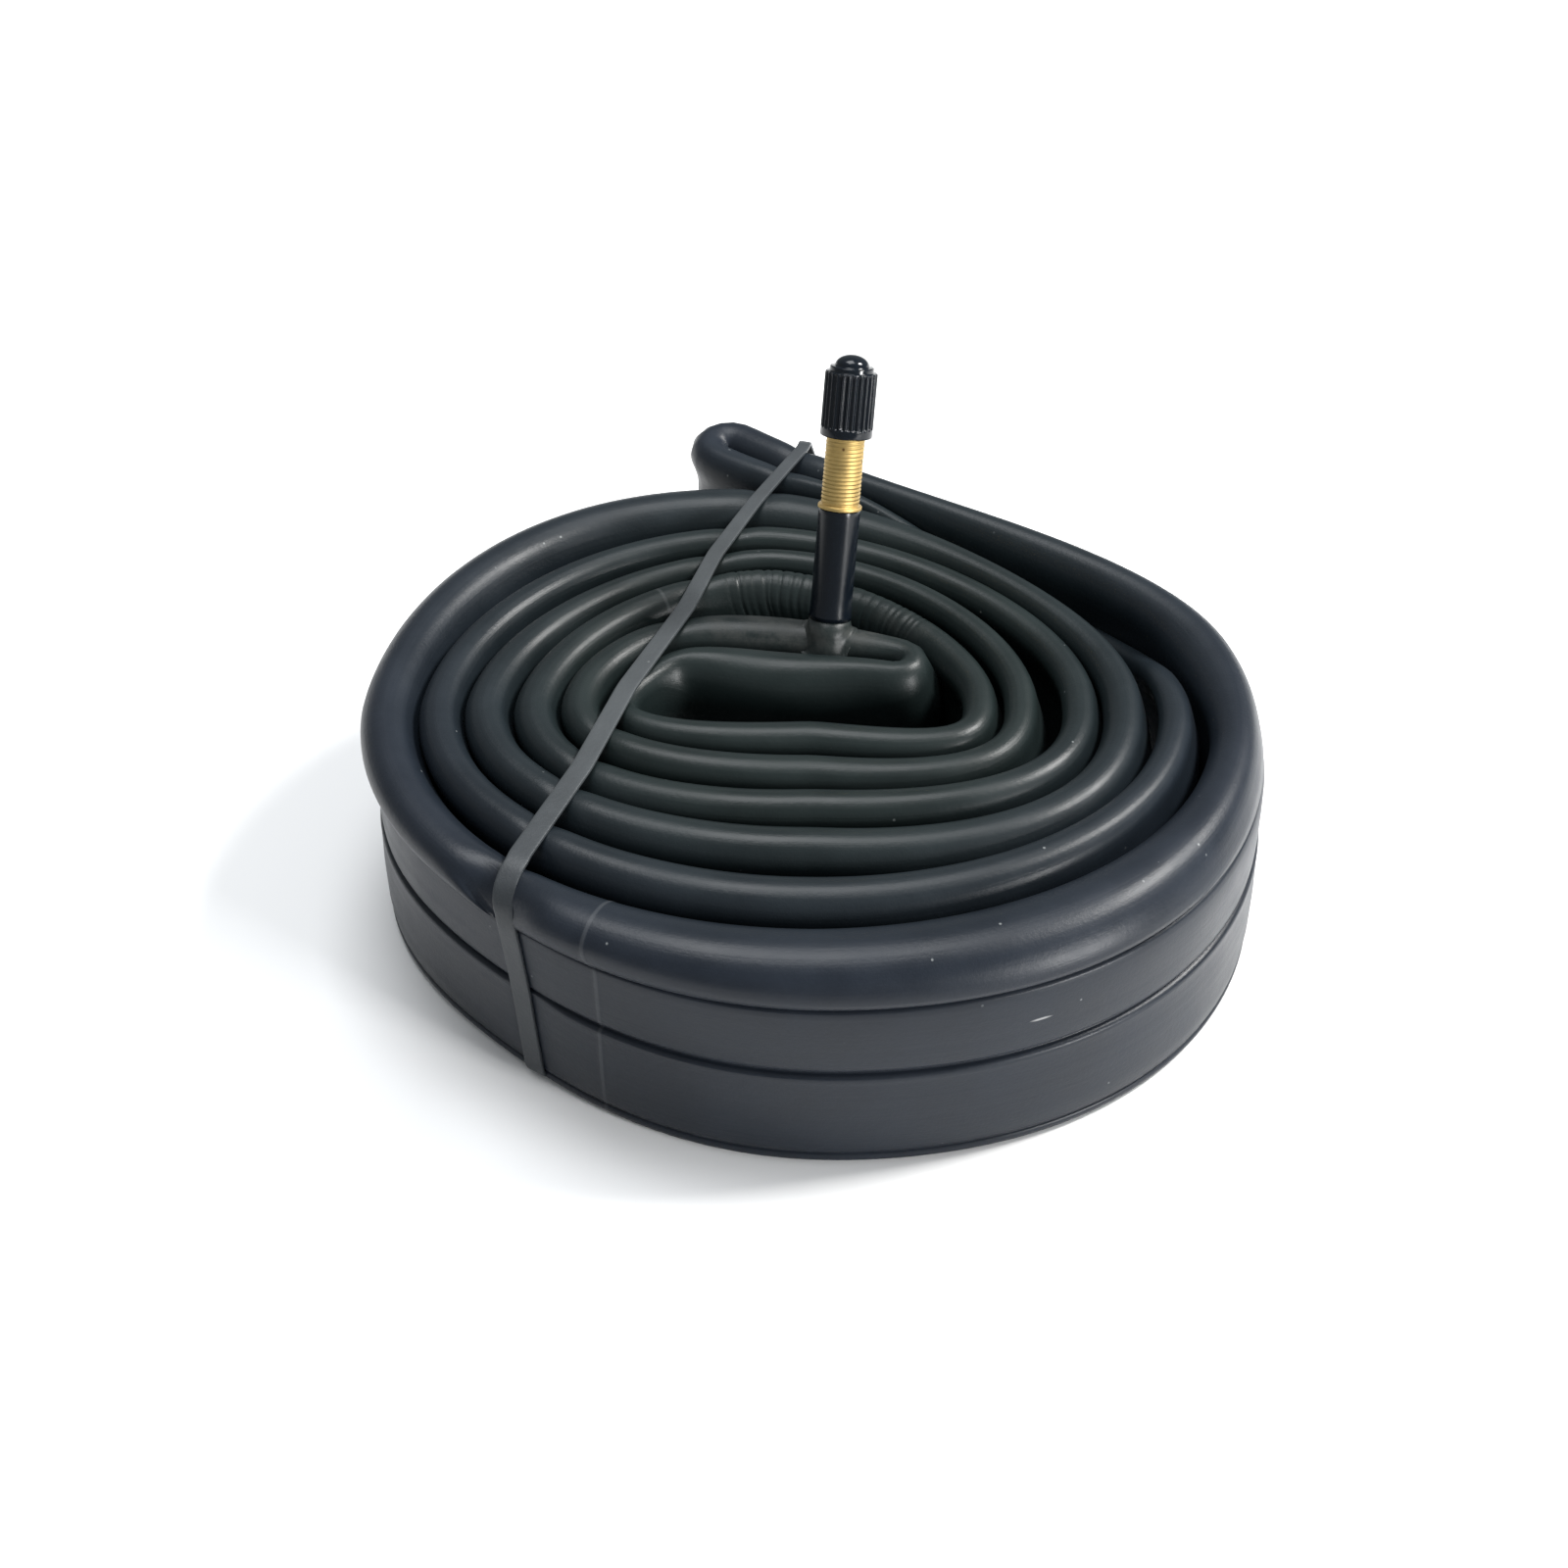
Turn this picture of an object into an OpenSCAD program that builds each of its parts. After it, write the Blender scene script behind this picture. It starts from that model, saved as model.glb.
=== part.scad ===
// Deflated bicycle inner tube, collapsed to a double strand, rolled up on edge and held by a
// rubber band. The rubber-covered 48 mm valve stands up from the inner turn.
// Millimetres, +Z up, origin on the floor under the middle of the roll's bounding box.

/* [Roll] */
// Width across the roll, from the left turn to the right one
roll_w = 178; // [150:1:230]
// Height of the roll on edge, which is the flat width of the tube
tube_h = 48; // [38:1:60]
// Thickness of the butyl wall
wall = 0.9; // [0.6:0.1:1.1]
// Share of its room between the neighbouring turns that a strand fills
fill = 0.9; // [0.75:0.01:0.92]
// How far the crowns lean to the left of the walls below them
crown_lean = 2; // [0:0.5:5]
// Turning step between two sections of the tube, degrees
turn_step = 12; // [9:1:15]

/* [Valve] */
// Length of the valve from the tube's crown to its mouth
valve_l = 49; // [44:1:70]
// Length of the stem that its rubber covers
sleeve_l = 22.5; // [16:0.5:24]
// Diameter of the rubber-covered stem, which passes the rim's valve hole
sleeve_d = 8.3; // [8.1:0.1:8.5]
// Outside diameter of the cap thread (8V1, 32 turns to the inch)
cap_thread_d = 7.7; // [7.6:0.1:8]
// Lean of the stem away from the front, degrees
stem_back = 22; // [0:1:28]
// Lean of the stem to the right, degrees
stem_right = 5; // [0:1:8]

/* [Dust cap] */
// Wall of the cap between its thread and the valleys of its ribs
cap_wall = 0.8; // [0.7:0.1:1.6]
// Depth of the valleys between the ribs
rib_depth = 0.45; // [0.3:0.05:0.6]
// Length of the ribbed part, from the open end to the shoulder
cap_body_l = 12.8; // [12:0.1:14]
// Number of ribs round the cap
cap_ribs = 26; // [16:1:32]
// Depth of the stem inside the cap
cap_cover = 10; // [8:0.5:11]

/* [Valve core] */
// Outside diameter of the core's thread (5V1, 36 turns to the inch)
core_thread_d = 5.2; // [5.1:0.05:5.3]
// Diameter of the core's barrel
barrel_d = 3.6; // [3.3:0.1:3.8]
// Diameter of the core's pin
pin_d = 1.2; // [1:0.1:1.3]
// Travel of the pin when it is pressed to let air through
pin_travel = 1.5; // [0.8:0.1:2]
// Coils of the core's spring
spring_coils = 7; // [4:1:8]

/* [Rubber band] */
// Width of the flat band
band_w = 4.4; // [3:0.1:6]
// Thickness of the band
band_t = 0.9; // [0.6:0.1:1.2]

/* [Hidden] */
$fn = 48;
eps = 0.01;
rubber_col = "#26292b";
brass_col = "#c9a85a";

// --- how the double strand is rolled ---
// All lengths below are for a roll 178 across and scale with it.
u = roll_w / 178;
// Per side: [distance from the roll's middle, room across the strand], innermost strand first.
// Strands come in pairs, the inner and the outer one of each turn.
right = [[33, 7], [41, 7], [52.5, 7.4], [61, 8.8], [71, 7], [83, 9.6]];
back = [[21, 7.4], [30, 7.8], [41, 6.4], [48.2, 6.4], [55.8, 7.4], [69, 14]];
left = [[37, 6.5], [45, 8.5], [54, 9], [63.5, 9], [72.5, 8.6], [83, 12]];
front = [[9.5, 9], [19.5, 9.6], [29.7, 9.8], [40.5, 11.5], [54.5, 12], [71.2, 19.8]];
sides = [right, back, left, front];
// At the back each strand lies this much to the left of the middle
back_shift = [4, 6, 8, 8, 10, 16];
// Where the last turn heads for as it leaves the right side
last_back = [[60, 5], [70, 8]];
// Corners of the outer strand: [where its quarter turn starts, share moved in, share pinched].
// It is pinched in at the back right of its middle turn, and full at the front right of its last.
corners = [[720, 0.035, 0.34], [990, -0.013, -0.17]];
// The turns start and end at these angles, anticlockwise from the right side
turns_from = 135;
turns_to = 1098;

// Inner hairpin: middle of its bend, direction of the run, half the strand spacing, room
hair = [17, 13.5];
hair_dir = 160;
hair_half = 3.8;
hair_room = 7;
hair_steps = 10;
hair_reach = 20;
hair_join = 16;
// Outer hairpin, the ear at the back left
ear = [-17.3, 91];
ear_dir = -41;
ear_half = 5;
ear_room = 9;
ear_steps = 14;
ear_reach = 44;
ear_join = 34;
// Spacing and room of the two strands where the last turn runs to the ear
run_gap = 6;
run_room = [4, 7.2];
bend_steps = 7;

function smooth(s) = (1 - cos(180 * max(0, min(1, s)))) / 2;
function unit(a) = [cos(a), sin(a)];
function side_at(s, k) = k > 12 ? last_back[s] : sides[k % 4][2 * floor((k - 1) / 4) + s];
// Reach along one axis at turning angle a: half even growth, half eased
function reach(s, a, first) =
    let (q = a / 90, k = 2 * floor((q - first) / 2) + first, r = (q - k) / 2,
         from = side_at(s, max(k, first == 0 ? 2 : 1))[0],
         to = side_at(s, min(k + 2, first == 0 ? 12 : 13))[0])
    from + (to - from) * (r + smooth(r)) / 2;
function corner(s, a, k) =
    let (c = [for (c = corners) if (s == 1 && a > c[0] && a < c[0] + 90) c[k]])
    len(c) > 0 ? c[0] * pow(sin(2 * a), 2) : 0;
function room(s, a) =
    let (k = floor(a / 90), from = side_at(s, max(k, 1))[1], to = side_at(s, k + 1)[1])
    (from + (to - from) * smooth(a / 90 - k)) * (1 - corner(s, a, 2));
function shift(s, a) =
    sin(a) > 0 && a < 1080 ? back_shift[2 * floor(a / 360) + s] * pow(sin(a), 2) : 0;
// Middle of strand s (0 inner, 1 outer) at turning angle a
function turn(s, a) =
    [reach(s, a, 0) * cos(a) - shift(s, a), reach(s, a, 1) * sin(a)]
    * (1 - corner(s, a, 1));
function along(s, a) = let (d = turn(s, a + 0.5) - turn(s, a - 0.5)) d / norm(d);
function bezier(p, a, b, q, r) =
    pow(1 - r, 3) * p + 3 * r * pow(1 - r, 2) * a + 3 * r * r * (1 - r) * b + pow(r, 3) * q;
function mix(a, b, r) = a + (b - a) * r;

// Each station of the path is [x, y, room]
function side_sign(s) = s == 1 ? 1 : -1;
function hairpin_run(s) =
    let (p = hair + unit(hair_dir - 90) * side_sign(s) * hair_half, q = turn(s, turns_from),
         a = p + unit(hair_dir) * hair_reach, b = q - along(s, turns_from) * hair_join)
    [for (i = [0 : hair_steps - 1])
        let (r = i / hair_steps, m = bezier(p, a, b, q, r))
        [m[0], m[1], mix(hair_room, room(s, turns_from), r)]];
turn_count = floor((turns_to - turns_from) / turn_step);
last_angle = turns_from + turn_count * turn_step;
function turns(s) =
    [for (i = [0 : turn_count])
        let (a = turns_from + i * turn_step, m = turn(s, a)) [m[0], m[1], room(s, a)]];
ear_end = ear + unit(ear_dir + 90) * ear_half;
function ear_point(r) =
    let (p = turn(1, last_angle))
    bezier(p, p + along(1, last_angle) * ear_join, ear_end + unit(ear_dir) * ear_reach, ear_end, r);
function ear_left(r) =
    let (d = ear_point(min(1, r + 0.01)) - ear_point(max(0, r - 0.01))) [-d[1], d[0]] / norm(d);
first_gap = norm(turn(1, last_angle) - turn(0, last_angle));
function ear_gap(r) =
    r < 0.5 ? mix(first_gap, run_gap, smooth(r / 0.45))
            : mix(run_gap, 2 * ear_half, smooth((r - 0.66) / 0.34));
function ear_room_at(s, r) =
    r < 0.5 ? mix(room(s, last_angle), run_room[s], smooth(r / 0.3))
            : mix(run_room[s], ear_room, smooth((r - 0.7) / 0.3));
function ear_run(s) =
    [for (i = [1 : ear_steps])
        let (r = i / ear_steps, m = ear_point(r) + (s == 1 ? [0, 0] : ear_left(r) * ear_gap(r)))
        [m[0], m[1], ear_room_at(s, r)]];
function bend(c, half, from, width) =
    [for (i = [1 : bend_steps])
        let (m = c + unit(from + 180 * i / (bend_steps + 1)) * half) [m[0], m[1], width]];
function strand(s) = concat(hairpin_run(s), turns(s), ear_run(s));
function reversed(v) = [for (i = [len(v) - 1 : -1 : 0]) v[i]];

loose = concat(strand(1), bend(ear, ear_half, ear_dir + 90, ear_room), reversed(strand(0)),
               bend(hair, hair_half, hair_dir + 90, hair_room));
count = len(loose);
function across(i) =
    let (d = loose[(i + 1) % count] - loose[(i + count - 1) % count])
    [d[1], -d[0]] / norm([d[0], d[1]]);
// Outline of the whole roll, which puts the origin under the middle of its bounding box
edge = [for (i = [0 : count - 1], e = [-0.5, 0.5], lean = [0, crown_lean / u])
        [loose[i][0] + lean, loose[i][1]] + across(i) * e * loose[i][2] * fill];
mid = [max([for (p = edge) p[0]]) + min([for (p = edge) p[0]]),
       max([for (p = edge) p[1]]) + min([for (p = edge) p[1]])] / 2;
path = [for (p = loose) [(p[0] - mid[0]) * u, (p[1] - mid[1]) * u, p[2] * fill * u]];

// --- section of the tube: [across, up, lean], bulged ends on a flat foot ---
foot_share = 0.22;
bulge_h = 5;
lean_h = 9;
function half_section(w, inset) =
    let (h = tube_h - 2 * inset, b = bulge_h, x = w / 2 - inset)
    [[foot_share * w, inset, 1], [x, inset + b, 1], [x, tube_h - lean_h, 1],
     [x, inset + h - b, 0.2], [foot_share * w, inset + h, 0]];
function section(w, inset) =
    let (half = half_section(w, inset))
    concat(half, [for (p = reversed(half)) [-p[0], p[1], p[2]]]);
section_n = 10;
crown_side = 4;

// --- valve ---
valve_at = 2;
valve_from = path[valve_at];
valve_to = path[valve_at + 1];
valve_foot = [(valve_from[0] + valve_to[0]) / 2, (valve_from[1] + valve_to[1]) / 2, tube_h];
valve_heading = atan2(valve_to[1] - valve_from[1], valve_to[0] - valve_from[0]);
valve_room = valve_from[2];
boss_h = 2;
boss_d = sleeve_d + 2.2;
rim_h = 0.7;
rim_d = sleeve_d + 0.4;
insert_grip_d = 6.2;
air_d = 3.2;
thread_from = boss_h + sleeve_l + rim_h;
lead_h = 0.4;
lead_d = cap_thread_d - 0.6;
// Clearance of pieces that turn or slide, and the thin gap between bonded pieces
run_fit = 0.05;
bond = 0.02;

// --- valve core: diameters from the pin outwards ---
plug_bore_d = pin_d + 0.8;
pin_bore_d = pin_d + 0.6;
collar_d = pin_d + 0.9;
spring_bore_d = collar_d + 0.2;
wire_d = 0.22;
coil_r = pin_d / 2 + wire_d / 2 + 0.24;
neck_d = pin_bore_d + 1.2;
head_d = neck_d + 0.9;
plug_top_d = core_thread_d - 1.1;
plug_flats = plug_top_d - 1;
core_bore_d = core_thread_d + 2 * run_fit;
shoulder_d = barrel_d + 0.3;
waist_d = barrel_d - 0.6;
seat_d = barrel_d + 1;
cup_d = barrel_d - 0.4;
cup_seal_d = cup_d - 0.5;
barrel_bore_d = barrel_d + 0.2;
// Depths below the valve's mouth
pin_top = 0.2;
button_h = 0.6;
plug_top = 1;
plug_thread_top = 3;
head_top = 4.5;
head_end = 6.1;
plug_end = 6.8;
shoulder_top = 7.2;
spring_bore_top = 7.4;
seal_top = 8.2;
seal_end = 10.2;
collar_top = 9.4;
collar_end = 9.9;
spring_end = 14.5;
barrel_end = 15.5;
cup_end = 17;
cup_seal_h = 0.8;
core_bore_end = cup_end + pin_travel + 1;
// Travel of the core as it screws out
core_rise = 3.9;

// --- dust cap ---
cap_bore_d = cap_thread_d + 0.2;
cap_valley_d = cap_bore_d + 2 * cap_wall;
cap_d = cap_valley_d + 2 * rib_depth;

// --- rubber band: it runs from the front left to the ear ---
band_at = [-56.2 - mid[0], -52 - mid[1]];
band_heading = 69.5;
band_corner = 9;
band_reach = 6;
// Where the outline crosses the band's plane, measured along it
crossings = [for (p = edge)
             let (d = p - mid - band_at, s = d * unit(band_heading), o = d * unit(band_heading + 90))
             if (abs(o) < band_reach) s * u];
band_front = min(crossings);
band_back = max(crossings);

module on_valve() translate(valve_foot) rotate([0, stem_right, 0]) rotate([-stem_back, 0, 0])
    children();
// A round piece between two depths below the mouth
module below_mouth(top, bottom, d) translate([0, 0, valve_l - bottom]) cylinder(d = d, h = bottom - top);

module tube() {
    skin = [for (i = [0 : count - 1], p = section(path[i][2], 0)) place(i, p)];
    lining = [for (i = [0 : count - 1], p = section(path[i][2], wall)) place(i, p)];
    first = count * section_n;
    cells = [for (i = [0 : count - 1], j = [0 : section_n - 1])
             if (!(i == valve_at && j == crown_side)) [i, j]];
    hole = [at(valve_at, crown_side), at(valve_at, crown_side + 1),
            at(valve_at + 1, crown_side + 1), at(valve_at + 1, crown_side)];
    color(rubber_col) polyhedron(concat(skin, lining), concat(
        [for (c = cells) quad(c[0], c[1])],
        [for (c = cells) [for (k = reversed(quad(c[0], c[1]))) first + k]],
        [for (k = [0 : 3]) [hole[k], hole[(k + 1) % 4], first + hole[(k + 1) % 4], first + hole[k]]]));
}
// A point of the section at station i, and the numbers of a face's corners in the skin
function place(i, p) =
    let (c = [path[i][0], path[i][1]] + across(i) * p[0]) [c[0] + p[2] * crown_lean, c[1], p[1]];
function at(i, j) = (i % count) * section_n + j % section_n;
function quad(i, j) = [at(i, j), at(i, j + 1), at(i + 1, j + 1), at(i + 1, j)];

// The tube's own section run straight through the valve's foot, grown all round
module strand_at_valve(l, grow) translate([valve_foot[0], valve_foot[1], 0])
    rotate([0, 0, valve_heading - 90]) rotate([90, 0, 0])
    translate([0, 0, -l / 2]) linear_extrude(l) offset(delta = grow)
    polygon([for (p = section(valve_room, 0)) [p[0], p[1]]]);

module valve_patch() color(rubber_col) {
    pad_t = 0.6;
    pad_drop = 4;
    pad_l = 15;
    difference() {
        union() {
            intersection() {
                strand_at_valve(pad_l, pad_t);
                translate([valve_foot[0], valve_foot[1], tube_h - pad_drop])
                    cylinder(d = pad_l - 1, h = pad_drop + boss_h);
            }
            on_valve() translate([0, 0, -1]) cylinder(d1 = boss_d, d2 = sleeve_d, h = boss_h + 1 - bond);
        }
        strand_at_valve(3 * pad_l, bond);
        on_valve() translate([0, 0, -3]) cylinder(d = air_d, h = boss_h + 4);
    }
}

module stem_sleeve() color(rubber_col) on_valve() translate([0, 0, boss_h]) difference() {
    cylinder(d = sleeve_d, h = sleeve_l);
    translate([0, 0, -1]) cylinder(d = insert_grip_d, h = sleeve_l + 2);
}

module stem_insert() color(brass_col) on_valve() difference() {
    union() {
        translate([0, 0, boss_h]) cylinder(d = insert_grip_d, h = sleeve_l + rim_h);
        translate([0, 0, boss_h + sleeve_l]) cylinder(d = rim_d, h = rim_h);
        below_mouth(lead_h, valve_l - thread_from + eps, cap_thread_d);
        below_mouth(0, lead_h + eps, lead_d);
    }
    translate([0, 0, boss_h - 1]) cylinder(d = air_d, h = valve_l);
    below_mouth(seal_end + 0.5, core_bore_end, barrel_bore_d);
    below_mouth(seal_end - eps, seal_end + 0.5 + eps, shoulder_d + 0.1);
    below_mouth(plug_end + 0.2, seal_end, seat_d);
    below_mouth(-1, plug_end + 0.2 + eps, core_bore_d);
}

module core_plug() color(brass_col) on_valve() difference() {
    union() {
        below_mouth(plug_thread_top, plug_end, core_thread_d);
        intersection() {
            below_mouth(plug_top, plug_thread_top + eps, plug_top_d);
            translate([-plug_flats / 2, -plug_top_d, 0]) cube([plug_flats, 2 * plug_top_d, valve_l]);
        }
    }
    below_mouth(0, plug_end + 1, plug_bore_d);
    below_mouth(head_top - 2 * run_fit, head_end + 2 * run_fit, head_d);
    below_mouth(head_end, plug_end + 1, neck_d);
}

module core_barrel() color(brass_col) on_valve() difference() {
    union() {
        below_mouth(head_top, head_end, head_d - 2 * run_fit);
        below_mouth(head_end - eps, shoulder_top, neck_d - 2 * run_fit);
        below_mouth(shoulder_top - eps, seal_top, shoulder_d);
        below_mouth(seal_top - eps, seal_end + eps, waist_d);
        below_mouth(seal_end, barrel_end, barrel_d);
    }
    below_mouth(head_top - 1, barrel_end + 1, pin_bore_d);
    below_mouth(spring_bore_top, spring_end, spring_bore_d);
}

module core_barrel_seal() color("#7a1f1c") on_valve() difference() {
    translate([0, 0, valve_l - seal_end])
        cylinder(d1 = barrel_d + 0.5, d2 = seat_d - 2 * run_fit, h = seal_end - seal_top);
    below_mouth(0, barrel_end, waist_d);
}

module core_pin() color(brass_col) on_valve() {
    below_mouth(pin_top, cup_end, pin_d);
    below_mouth(pin_top, pin_top + button_h, pin_d + 0.4);
    below_mouth(collar_top, collar_end, collar_d);
}

module core_spring() color("#b9bcc0") on_valve() {
    steps = 14;
    sides_n = 6;
    top = valve_l - collar_end - wire_d / 2 - bond;
    rise = spring_end - collar_end - wire_d - 2 * bond;
    n = spring_coils * steps;
    points = [for (i = [0 : n], j = [0 : sides_n - 1])
              let (a = 360 * i / steps, r = coil_r + wire_d / 2 * cos(360 * j / sides_n))
              [r * cos(a), r * sin(a), top - rise * i / n + wire_d / 2 * sin(360 * j / sides_n)]];
    polyhedron(points, concat(
        [for (i = [0 : n - 1], j = [0 : sides_n - 1])
            let (k = (j + 1) % sides_n)
            [i * sides_n + j, i * sides_n + k, (i + 1) * sides_n + k, (i + 1) * sides_n + j]],
        [[for (j = [sides_n - 1 : -1 : 0]) j], [for (j = [0 : sides_n - 1]) n * sides_n + j]]));
}

module core_cup() color(brass_col) on_valve() difference() {
    below_mouth(barrel_end + cup_seal_h / 2, cup_end, cup_d);
    below_mouth(barrel_end, barrel_end + cup_seal_h, cup_seal_d);
    below_mouth(0, cup_end + 1, pin_d);
}

module core_cup_seal() color("#1c1c1c") on_valve() difference() {
    below_mouth(barrel_end + bond, barrel_end + cup_seal_h, cup_seal_d);
    below_mouth(0, cup_end, pin_d);
}

module dust_cap() color("#17181a") on_valve() translate([0, 0, valve_l - cap_cover]) {
    skirt_h = 1.7;
    rib_w = 0.62;
    ring_h = 1;
    ring_d = cap_d - 1.7;
    dome_d = ring_d - 1.9;
    dome_h = 2.2;
    mouth_gap = 0.6;
    // Room over the stem's mouth for the core's plug and its pin when they are screwed out
    plug_room_d = core_thread_d + 0.7;
    plug_room_h = core_rise - plug_top + 0.3;
    pin_room_d = plug_top_d - 0.7;
    pin_room_h = core_rise - pin_top + 1.2;
    top = cap_body_l + ring_h;
    difference() {
        union() {
            cylinder(d = cap_d, h = skirt_h);
            cylinder(d = cap_valley_d, h = cap_body_l);
            for (i = [0 : cap_ribs - 1]) rotate([0, 0, 360 * i / cap_ribs])
                translate([cap_valley_d / 2 - rib_depth, -rib_w / 2, skirt_h - eps])
                cube([2 * rib_depth - bond, rib_w, cap_body_l - skirt_h]);
            translate([0, 0, cap_body_l - eps]) cylinder(d = ring_d, h = ring_h + eps);
            translate([0, 0, top - eps]) rotate_extrude() intersection() {
                translate([0, -2]) circle(d = 2 * (dome_h + 2));
                square([dome_d / 2, dome_h]);
            }
        }
        translate([0, 0, -1]) cylinder(d = cap_bore_d, h = cap_cover + 1 + mouth_gap);
        translate([0, 0, cap_cover]) cylinder(d = plug_room_d, h = plug_room_h);
        translate([0, 0, cap_cover]) cylinder(d = pin_room_d, h = pin_room_h);
    }
}

// A ring round the roll in one upright plane: [along, up] box with round corners
module rounded_box(from, to, low, high, r) union() {
    translate([from + r, low]) square([to - from - 2 * r, high - low]);
    translate([from, low + r]) square([to - from, high - low - 2 * r]);
    for (x = [from + r, to - r], y = [low + r, high - r]) translate([x, y]) circle(r = r);
}

module rubber_band() color("#3a3c3d")
    translate([band_at[0] * u, band_at[1] * u, 0]) rotate([0, 0, band_heading]) rotate([90, 0, 0])
    translate([0, 0, -band_w / 2]) linear_extrude(band_w) difference() {
        rounded_box(band_front - band_t, band_back + band_t, 0, tube_h + band_t, band_corner + band_t);
        rounded_box(band_front, band_back, band_t, tube_h, band_corner);
    }

tube();
valve_patch();
stem_sleeve();
stem_insert();
core_plug();
core_barrel();
core_barrel_seal();
core_pin();
core_spring();
core_cup();
core_cup_seal();
dust_cap();
rubber_band();
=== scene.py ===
"""Rolled bicycle inner tube with its valve, dressed in rubber, brass and moulded plastic.

The tube is one closed skin: a section of two bulged edges is carried round a spiral loop. The
rubber band is a flat section carried round the roll, the pad spreads over the tube's crown, and
the valve's sleeve, its threaded brass and its ribbed cap are turned about the stem's axis.
Sizes are in millimetres until a surface becomes a mesh, and then in metres, as the CAD part is.
"""

import bmesh
import bpy
import numpy as np
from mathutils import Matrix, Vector


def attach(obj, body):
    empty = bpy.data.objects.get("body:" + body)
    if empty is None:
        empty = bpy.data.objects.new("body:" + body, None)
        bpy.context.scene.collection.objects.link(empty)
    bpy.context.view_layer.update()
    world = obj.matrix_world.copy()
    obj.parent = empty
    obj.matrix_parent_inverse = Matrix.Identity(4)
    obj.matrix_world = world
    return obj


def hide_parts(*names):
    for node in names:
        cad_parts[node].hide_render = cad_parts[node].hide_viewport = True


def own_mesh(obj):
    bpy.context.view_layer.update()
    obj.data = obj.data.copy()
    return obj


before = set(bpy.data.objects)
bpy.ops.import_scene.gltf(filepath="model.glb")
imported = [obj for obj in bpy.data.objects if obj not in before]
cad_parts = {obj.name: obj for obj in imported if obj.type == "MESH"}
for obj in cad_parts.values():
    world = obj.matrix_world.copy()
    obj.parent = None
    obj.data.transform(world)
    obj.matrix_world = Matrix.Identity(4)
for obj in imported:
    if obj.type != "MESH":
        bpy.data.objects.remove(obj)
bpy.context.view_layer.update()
MM = 0.001

# --- how the double strand is rolled (the CAD part's own sizes) ---
# Per side, innermost strand first: distance from the roll's middle, room across the strand
RIGHT = [[33, 7], [41, 7], [52.5, 7.4], [61, 8.8], [71, 7], [83, 9.6]]
BACK = [[21, 7.4], [30, 7.8], [41, 6.4], [48.2, 6.4], [55.8, 7.4], [69, 14]]
LEFT = [[37, 6.5], [45, 8.5], [54, 9], [63.5, 9], [72.5, 8.6], [83, 12]]
FRONT = [[9.5, 9], [19.5, 9.6], [29.7, 9.8], [40.5, 11.5], [54.5, 12], [71.2, 19.8]]
SIDES = np.array([RIGHT, BACK, LEFT, FRONT], float)
BACK_SHIFT = np.array([4, 6, 8, 8, 10, 16], float)
LAST_BACK = [[60, 5], [70, 8]]
# Corners of the outer strand: where the quarter turn starts, share moved in, share pinched
CORNERS = [(720, 0.035, 0.34), (990, -0.013, -0.17)]
TURNS_FROM, TURNS_TO = 135, 1095
# The turning angle that stands for the inner fold's middle, and the one for the ear's
HAIR_ANGLE, EAR_ANGLE = 75, 1200
HAIR, HAIR_DIR, HAIR_HALF, HAIR_ROOM, HAIR_REACH, HAIR_JOIN = (17, 13.5), 160, 3.8, 7, 20, 16
# The two runs beside the inner fold are fuller in their middle, and the near one sags forward
RUN_SWELL, RUN_SAG, RUN_EASE = (4.6, 3.6), (4.6, 0.5), 1.4
EAR, EAR_DIR, EAR_HALF, EAR_ROOM, EAR_REACH, EAR_JOIN = (-17.3, 91), -41, 5, 9, 44, 34
RUN_GAP, RUN_ROOM = 6, (4, 7.2)
ROLL_MIDDLE = np.array([0.45365, 10.0276])
TUBE_H = 48.0
CROWN_LEAN = 2.0

# Reach and room at each quarter turn, for the inner strand (0) and the outer one (1)
QUARTERS = np.array([[SIDES[k % 4, 2 * ((max(k, 1) - 1) // 4) + s] for k in range(13)]
                     + [LAST_BACK[s]] for s in (0, 1)])


def smooth(x):
    """Half a cosine wave, from 0 at x = 0 to 1 at x = 1."""
    return (1 - np.cos(np.pi * np.clip(x, 0, 1))) / 2


def mix(a, b, r):
    return a + (b - a) * r


def bump(x, width):
    """A bell of height 1: exp of minus (x / width) squared."""
    return np.exp(-(x / width) ** 2)


def column(a):
    return np.asarray(a)[:, None]


def unit(deg):
    a = np.radians(deg)
    return np.stack([np.cos(a), np.sin(a)], -1)


def sides_of(values):
    """Unit normals on the right of a closed line's way round, from central differences."""
    d = np.roll(values, -1, 0) - np.roll(values, 1, 0)
    d /= np.linalg.norm(d, axis=1)[:, None]
    return np.stack([d[:, 1], -d[:, 0]], 1)


def reach(s, a, first):
    """Distance from the middle along one axis: half even growth, half eased, between stations."""
    q = a / 90
    k = (2 * np.floor((q - first) / 2) + first).astype(int)
    r = (q - k) / 2
    low, high = (2, 12) if first == 0 else (1, 13)
    start, end = QUARTERS[s][np.maximum(k, low), 0], QUARTERS[s][np.minimum(k + 2, high), 0]
    return mix(start, end, (r + smooth(r)) / 2)


def corner(s, a, k):
    """Share of the outer strand's place (k = 1) or room (k = 2) lost at a corner's middle."""
    total = 0 * a
    for c in CORNERS:
        inside = (s == 1) & (a > c[0]) & (a < c[0] + 90)
        total = total + inside * c[k] * np.sin(np.radians(2 * a)) ** 2
    return total


def room(s, a):
    """Room across strand s at turning angle a, eased from one quarter turn to the next."""
    k = np.floor(a / 90).astype(int)
    start, end = QUARTERS[s][np.maximum(k, 1), 1], QUARTERS[s][np.minimum(k + 1, 13), 1]
    return mix(start, end, smooth(a / 90 - k)) * (1 - corner(s, a, 2))


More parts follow.
